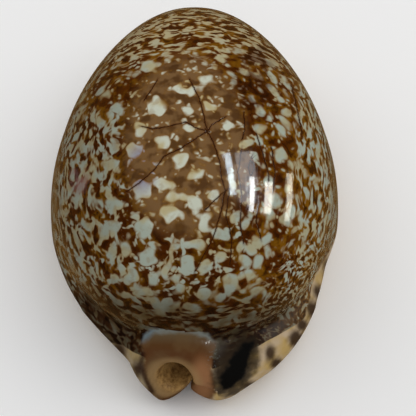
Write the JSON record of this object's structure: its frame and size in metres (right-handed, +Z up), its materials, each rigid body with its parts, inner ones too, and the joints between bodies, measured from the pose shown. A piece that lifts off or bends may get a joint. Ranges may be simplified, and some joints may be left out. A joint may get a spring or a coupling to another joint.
{
  "type": "cowrie shell",
  "caption": "Glossy egg-shaped cowrie shell: domed back, thick rounded edge, flat base with a narrow toothed slot and a canal at each end.",
  "frame": {"origin": "middle of the base, on the surface that the shell rests on", "axes": "+Z up through the domed back, +Y towards the narrow anterior end, +X towards the outer lip"},
  "size_m": [0.0476, 0.0697, 0.035],
  "materials": {
    "enamel": "high natural gloss, brown net over pale grey, cream edge"
  },
  "bodies": {
    "root": {"shell": "enamel"}
  },
  "joints": []
}
